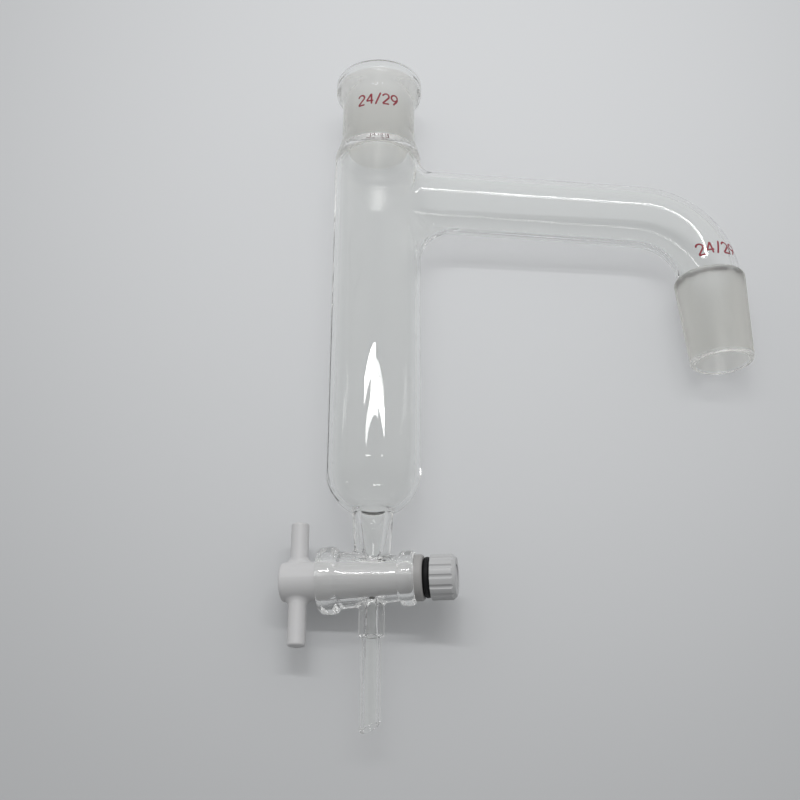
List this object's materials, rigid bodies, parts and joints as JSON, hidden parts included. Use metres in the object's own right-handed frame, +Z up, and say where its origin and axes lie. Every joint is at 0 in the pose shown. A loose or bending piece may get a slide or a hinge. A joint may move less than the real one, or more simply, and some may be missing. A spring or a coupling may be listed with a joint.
{
  "type": "glass water separator",
  "caption": "Blown glass receiver tube with a ground socket on top, a side arm bent over to a ground cone, and a drain with a turning plastic stopcock key.",
  "frame": {"origin": "centre of the mouth of the ground socket, on the body axis", "axes": "+Y out of the socket along the body axis, +X towards the side arm, +Z up from the bench that the piece lies on"},
  "size_m": [0.1548, 0.2302, 0.0306],
  "materials": {
    "clear_glass": "clear and polished, with the ground bore and the ground cone matt",
    "white_key_plastic": "waxy white, moulded",
    "washer_plastic": "waxy, off white",
    "black_rubber": "smooth black rubber",
    "white_nut_plastic": "turned white plastic with a soft gloss"
  },
  "bodies": {
    "glass": {"glass_body": "clear_glass"},
    "key": {"stopcock_key": "white_key_plastic", "tension_washer": "washer_plastic"},
    "ring": {"tension_ring": "black_rubber"},
    "nut": {"tension_nut": "white_nut_plastic"}
  },
  "joints": [
    {"name": "key_turn", "type": "hinge", "parent": "glass", "child": "key", "pos_m": [0, -0.1843, 0], "axis": [0.9878, 0, 0.1554], "continuous": true},
    {"name": "nut_advance", "type": "slide", "parent": "key", "child": "ring", "axis": [0.9878, 0, 0.1554], "range_m": [0, 0.006]},
    {"name": "nut_turn", "type": "hinge", "parent": "ring", "child": "nut", "pos_m": [0, -0.1843, 0], "axis": [0.9878, 0, 0.1554], "range_deg": [0, 1441]}
  ],
  "couplings": [
    {"joint": "nut_turn", "follows": "nut_advance", "rad_per_m": 4188.8}
  ]
}
